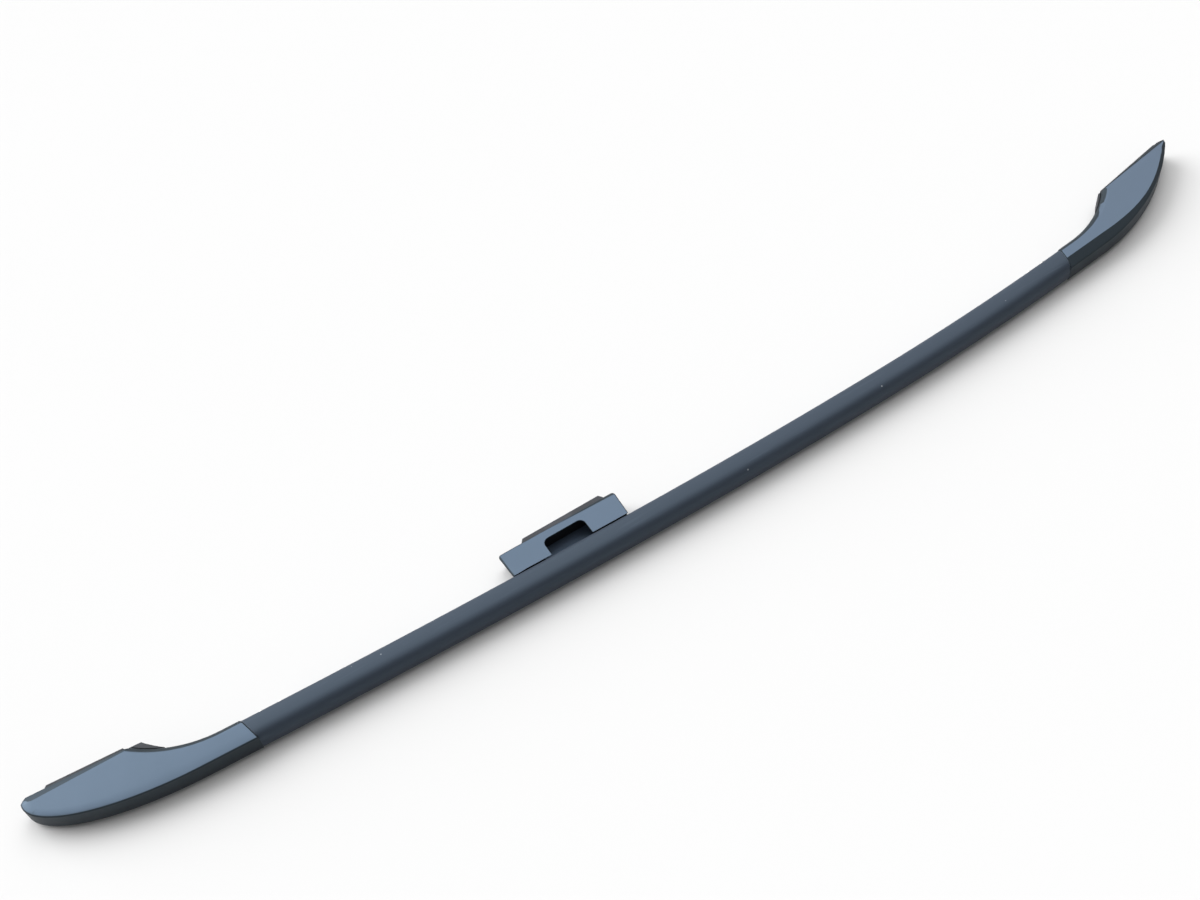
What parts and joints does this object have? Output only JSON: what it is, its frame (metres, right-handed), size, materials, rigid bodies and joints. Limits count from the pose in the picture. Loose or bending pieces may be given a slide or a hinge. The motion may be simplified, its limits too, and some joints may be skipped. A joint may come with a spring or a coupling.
{
  "type": "roof rail",
  "caption": "Arched car roof rail: dark coated tube, pointed moulded end feet and a windowed middle foot, bolted to a roof through inserts in its soles.",
  "frame": {"origin": "centre of the rail's box, on the surface that it lies on", "axes": "+X along the rail from the front foot to the rear foot, +Y towards the car's roof, +Z towards the car's outer side"},
  "size_m": [1.6848, 0.1262, 0.034],
  "materials": {
    "coated_tube": "matt dark slate powder coat on aluminium",
    "cover_plastic": "satin moulded plastic, blue slate",
    "cast_aluminium": "black dip coat on die casting",
    "gasket_rubber": "matt black rubber",
    "zinc_steel": "bright zinc plated"
  },
  "bodies": {
    "root": {"rail_tube": "coated_tube", "front_foot_cover": "cover_plastic", "rear_foot_cover": "cover_plastic", "middle_foot_cover": "cover_plastic", "front_foot_bracket": "cast_aluminium", "rear_foot_bracket": "cast_aluminium", "middle_foot_bracket": "cast_aluminium", "front_foot_gasket": "gasket_rubber", "rear_foot_gasket": "gasket_rubber", "middle_foot_gasket": "gasket_rubber", "middle_saddle_pads": "gasket_rubber", "front_spigot_screws": "zinc_steel", "rear_spigot_screws": "zinc_steel", "front_cover_screw": "zinc_steel", "rear_cover_screw": "zinc_steel", "front_fixing_inserts": "zinc_steel", "rear_fixing_inserts": "zinc_steel", "middle_fixing_inserts": "zinc_steel", "middle_saddle_screws": "zinc_steel", "middle_rivet_nuts": "zinc_steel"}
  },
  "joints": []
}
